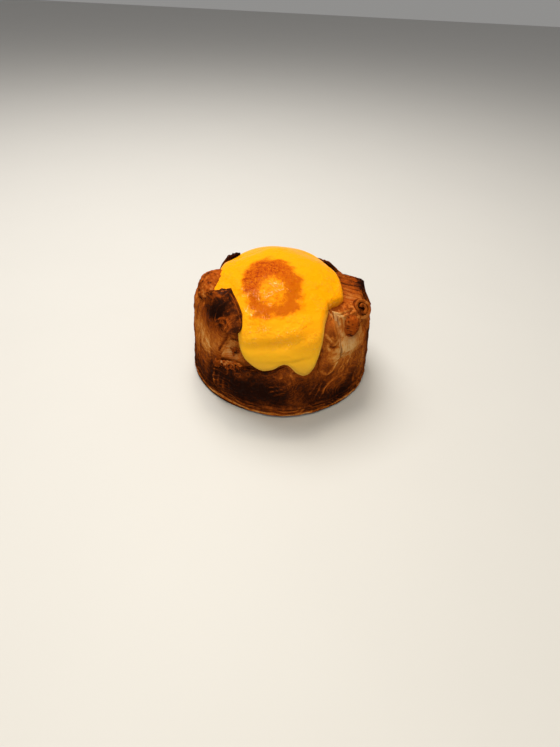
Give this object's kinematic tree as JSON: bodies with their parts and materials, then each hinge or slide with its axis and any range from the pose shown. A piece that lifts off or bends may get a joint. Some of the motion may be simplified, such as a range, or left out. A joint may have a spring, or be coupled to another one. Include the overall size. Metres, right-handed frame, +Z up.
{
  "type": "chestnut pie",
  "caption": "Round chestnut pie of folded flaky pastry baked in a ring, with a dome of yellow custard that runs down its front.",
  "frame": {"origin": "middle of the flat underside", "axes": "+Z up; the custard runs down the -Y side, which is the front; +X is to the right seen from the front"},
  "size_m": [0.0883, 0.0925, 0.0605],
  "materials": {
    "pastry": "baked flaky crust, browned unevenly, with a light sugar gloss",
    "custard": "smooth moist egg custard, torched in a ring"
  },
  "bodies": {
    "root": {"pastry": "pastry", "custard": "custard"}
  },
  "joints": []
}
